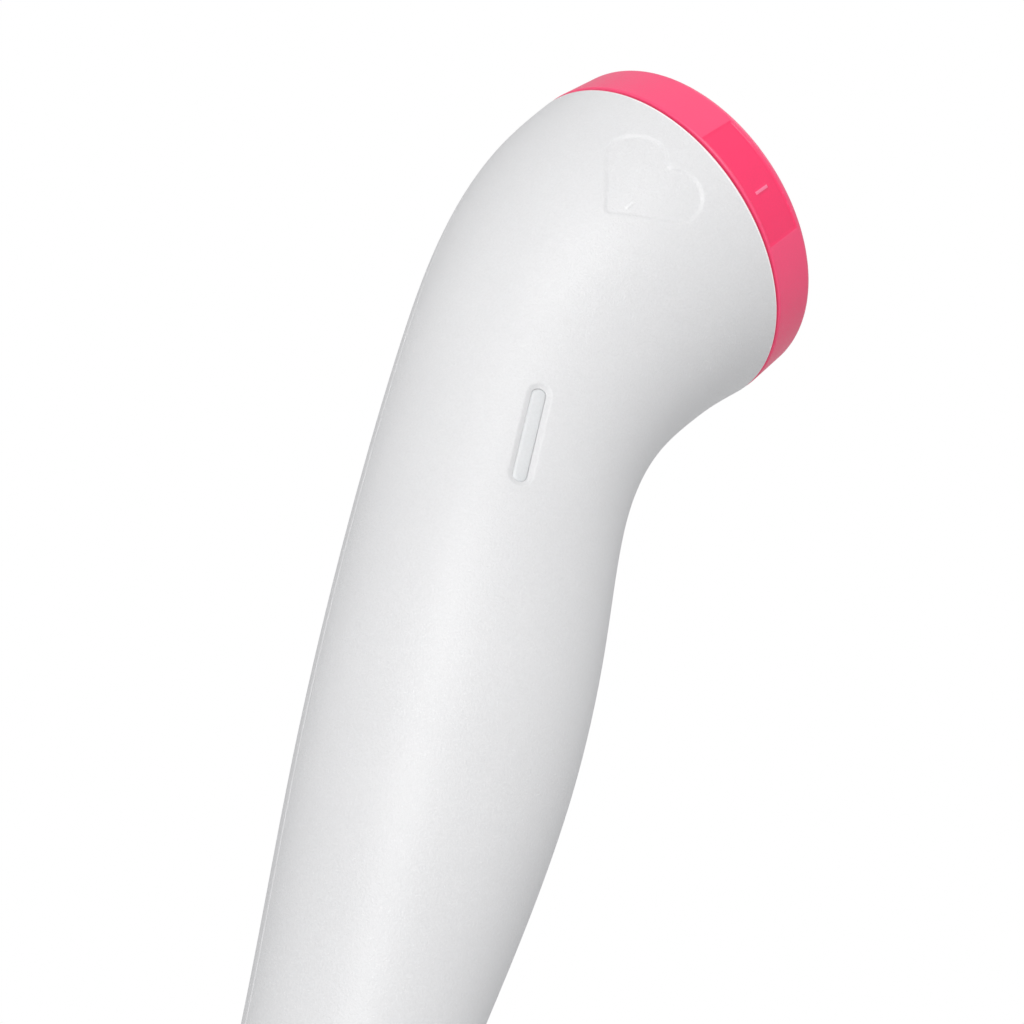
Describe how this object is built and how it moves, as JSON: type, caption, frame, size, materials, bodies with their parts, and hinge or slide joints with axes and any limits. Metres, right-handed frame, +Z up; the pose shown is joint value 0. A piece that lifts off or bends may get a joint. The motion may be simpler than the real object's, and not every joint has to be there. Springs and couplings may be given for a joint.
{
  "type": "skin scrubber",
  "caption": "Hand-held powered skin scrubber: slim curved handle, round tilted head with a coloured twist-lock guard ring and a spinning nubbed silicone pad.",
  "frame": {"origin": "centre of the flat base of the tail cap, the face the device stands on", "axes": "+Z up along the handle, the head faces -Y and upward, -X is the side with the indicator window and the heart outline"},
  "size_m": [0.05, 0.0574, 0.1712],
  "materials": {
    "shell": "satin, fine grain",
    "ring": "hot pink, satin gloss",
    "carrier": "satin",
    "pad": "soft silicone",
    "cap": "satin, fine grain",
    "window": "translucent",
    "button": "satin",
    "inner_plastic": "moulded",
    "seal": "soft",
    "bush": "sintered bronze",
    "steel": "turned",
    "gear": "acetal",
    "brass": "machined",
    "magnet": "ferrite",
    "copper": "copper",
    "cell": "printed sleeve, no text",
    "board": "solder mask",
    "chip": "moulded",
    "led": "clear epoxy",
    "lead_red": "insulation",
    "lead_black": "insulation"
  },
  "bodies": {
    "handle": {"left_shell": "shell", "right_shell": "shell", "gear_plate": "inner_plastic", "plate_gasket": "seal", "spindle_bush": "bush", "spindle_seal": "seal", "gear_case": "inner_plastic", "plate_screws": "steel", "shell_screws": "steel", "motor_can": "steel", "motor_end_cap": "chip", "motor_magnets": "magnet", "motor_terminals": "copper", "motor_screws": "steel", "idler_pin": "steel", "cell_lower": "cell", "cell_upper": "cell", "cell_tube": "inner_plastic", "top_contact": "steel", "return_strip": "steel", "circuit_board": "board", "board_parts": "chip", "switch_body": "chip", "indicator_lens": "window", "indicator_board": "board", "indicator_leds": "led", "motor_lead_red": "lead_red", "motor_lead_black": "lead_black"},
    "drive_spindle": {"spindle": "steel", "spindle_clip": "steel", "output_gear": "gear"},
    "idler": {"idler_gear": "gear"},
    "rotor": {"motor_shaft": "steel", "motor_pinion": "brass", "motor_rotor": "steel", "motor_commutator": "copper"},
    "pad": {"pad_carrier": "carrier", "scrub_pad": "pad"},
    "guard": {"guard_ring": "ring"},
    "cap": {"tail_cap": "cap", "cap_seal": "seal", "cap_contact": "steel", "contact_spring": "steel"},
    "button": {"power_button": "button", "switch_plunger": "button"}
  },
  "joints": [
    {"name": "spindle_spin", "type": "hinge", "parent": "handle", "child": "drive_spindle", "pos_m": [0, -0.0194, 0.15], "axis": [0, -0.6198, 0.7848], "continuous": true},
    {"name": "idler_spin", "type": "hinge", "parent": "handle", "child": "idler", "pos_m": [-0.011, -0.01382, 0.14294], "axis": [0, -0.6198, 0.7848], "continuous": true},
    {"name": "rotor_spin", "type": "hinge", "parent": "handle", "child": "rotor", "pos_m": [-0.00129, -0.01014, 0.13182], "axis": [0, -0.6198, 0.7848], "continuous": true},
    {"name": "pad_pull", "type": "slide", "parent": "drive_spindle", "child": "pad", "axis": [0, -0.6198, 0.7848], "range_m": [0, 0.015]},
    {"name": "ring_twist", "type": "hinge", "parent": "handle", "child": "guard", "pos_m": [0, -0.02188, 0.15314], "axis": [0, -0.6198, 0.7848], "range_deg": [0, 20]},
    {"name": "cap_twist", "type": "hinge", "parent": "handle", "child": "cap", "pos_m": [0, 0, 0], "axis": [0, 0, 1], "range_deg": [0, 60]},
    {"name": "button_press", "type": "slide", "parent": "handle", "child": "button", "axis": [0, 1, 0], "range_m": [0, 0.0006], "stiffness_N_per_m": 1200}
  ],
  "couplings": [
    {"joint": "idler_spin", "follows": "rotor_spin", "ratio": -0.4},
    {"joint": "spindle_spin", "follows": "rotor_spin", "ratio": 0.15}
  ]
}
